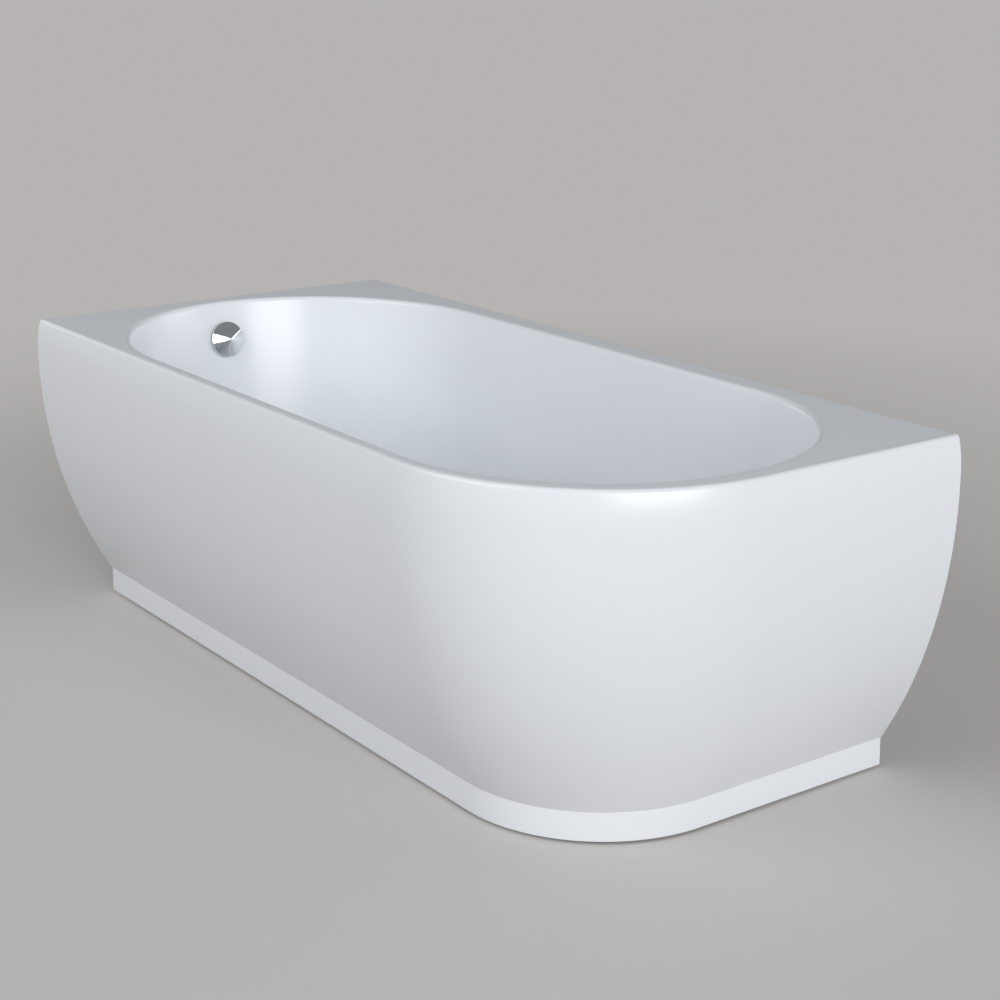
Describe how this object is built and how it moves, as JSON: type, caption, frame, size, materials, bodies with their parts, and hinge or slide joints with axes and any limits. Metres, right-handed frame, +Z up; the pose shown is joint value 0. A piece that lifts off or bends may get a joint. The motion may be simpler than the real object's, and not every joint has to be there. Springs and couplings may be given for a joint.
{
  "type": "bathtub",
  "caption": "Back-to-wall bathtub with a free rounded corner: oval basin, curved apron and recessed plinth on a steel cradle with levelling feet, turn-knob overflow and pop-up waste.",
  "frame": {"origin": "on the floor under the middle of the tub's outline", "axes": "+X from the overflow end at the wall towards the free end, +Y towards the back wall, +Z up"},
  "size_m": [1.7, 0.8, 0.6],
  "materials": {
    "white_acrylic": "gloss",
    "glass_fibre_laminate": "rough sprayed resin with chopped strands",
    "chipboard": "raw board",
    "galvanised_steel": "spangled zinc",
    "zinc_plated_steel": "bright zinc",
    "chrome": "polished",
    "stainless_steel": "satin",
    "brass": "turned",
    "white_plastic": "moulded",
    "grey_plastic": "moulded",
    "black_plastic": "moulded",
    "rubber": "matt"
  },
  "bodies": {
    "tub": {"apron": "white_acrylic", "apron_bolts": "zinc_plated_steel", "apron_bracket_1": "galvanised_steel", "apron_bracket_2": "galvanised_steel", "apron_bracket_3": "galvanised_steel", "apron_bracket_4": "galvanised_steel", "apron_bracket_5": "galvanised_steel", "apron_nuts": "zinc_plated_steel", "base_board": "chipboard", "basin_laminate": "glass_fibre_laminate", "basin_shell": "white_acrylic", "board_screws": "zinc_plated_steel", "bracket_screws": "zinc_plated_steel", "control_cable": "black_plastic", "cross_rail_foot": "galvanised_steel", "cross_rail_head": "galvanised_steel", "cross_rail_middle": "galvanised_steel", "drain_body": "white_plastic", "drain_flange": "chrome", "drain_gasket": "rubber", "foot_nuts": "zinc_plated_steel", "frame_rail_back": "galvanised_steel", "frame_rail_front": "galvanised_steel", "hose_nuts": "grey_plastic", "lever_pin": "stainless_steel", "outlet_nut": "grey_plastic", "outlet_pipe": "white_plastic", "overflow_body": "white_plastic", "overflow_flange": "chrome", "overflow_gasket": "rubber", "overflow_hose": "white_plastic", "overflow_screws": "stainless_steel", "plinth": "white_acrylic", "rail_bolts": "zinc_plated_steel", "rail_end_caps": "black_plastic", "rail_nuts": "zinc_plated_steel", "trap_body": "white_plastic", "trap_nut": "grey_plastic", "wall_bracket_1": "galvanised_steel", "wall_bracket_2": "galvanised_steel", "wall_bracket_3": "galvanised_steel"},
    "overflow_control": {"overflow_knob": "chrome", "overflow_spindle": "stainless_steel"},
    "plug": {"drain_plug": "chrome", "plug_seal": "rubber", "plug_stem": "brass"},
    "lift_lever": {"lift_lever": "brass"},
    "foot_1": {"foot_stud_1": "zinc_plated_steel", "foot_pad_1": "black_plastic"},
    "foot_2": {"foot_stud_2": "zinc_plated_steel", "foot_pad_2": "black_plastic"},
    "foot_3": {"foot_stud_3": "zinc_plated_steel", "foot_pad_3": "black_plastic"},
    "foot_4": {"foot_stud_4": "zinc_plated_steel", "foot_pad_4": "black_plastic"},
    "foot_5": {"foot_stud_5": "zinc_plated_steel", "foot_pad_5": "black_plastic"},
    "foot_6": {"foot_stud_6": "zinc_plated_steel", "foot_pad_6": "black_plastic"}
  },
  "joints": [
    {"name": "overflow_turn", "type": "hinge", "parent": "tub", "child": "overflow_control", "pos_m": [-0.7906, -0.008, 0.522], "axis": [0.9816, 0, 0.1908], "range_deg": [0, 90]},
    {"name": "plug_lift", "type": "slide", "parent": "tub", "child": "plug", "axis": [0, 0, 1], "range_m": [0, 0.0101]},
    {"name": "lever_rock", "type": "hinge", "parent": "tub", "child": "lift_lever", "pos_m": [-0.55037, -0.038, 0.1182], "axis": [1, 0, 0], "range_deg": [0, 20]},
    {"name": "foot_1_level", "type": "slide", "parent": "tub", "child": "foot_1", "axis": [0, 0, 1], "range_m": [-0.025, 0]},
    {"name": "foot_2_level", "type": "slide", "parent": "tub", "child": "foot_2", "axis": [0, 0, 1], "range_m": [-0.025, 0]},
    {"name": "foot_3_level", "type": "slide", "parent": "tub", "child": "foot_3", "axis": [0, 0, 1], "range_m": [-0.025, 0]},
    {"name": "foot_4_level", "type": "slide", "parent": "tub", "child": "foot_4", "axis": [0, 0, 1], "range_m": [-0.025, 0]},
    {"name": "foot_5_level", "type": "slide", "parent": "tub", "child": "foot_5", "axis": [0, 0, 1], "range_m": [-0.025, 0]},
    {"name": "foot_6_level", "type": "slide", "parent": "tub", "child": "foot_6", "axis": [0, 0, 1], "range_m": [-0.025, 0]}
  ],
  "couplings": [
    {"joint": "plug_lift", "follows": "overflow_turn", "m_per_rad": 0.006366},
    {"joint": "lever_rock", "follows": "overflow_turn", "ratio": 0.2163}
  ]
}
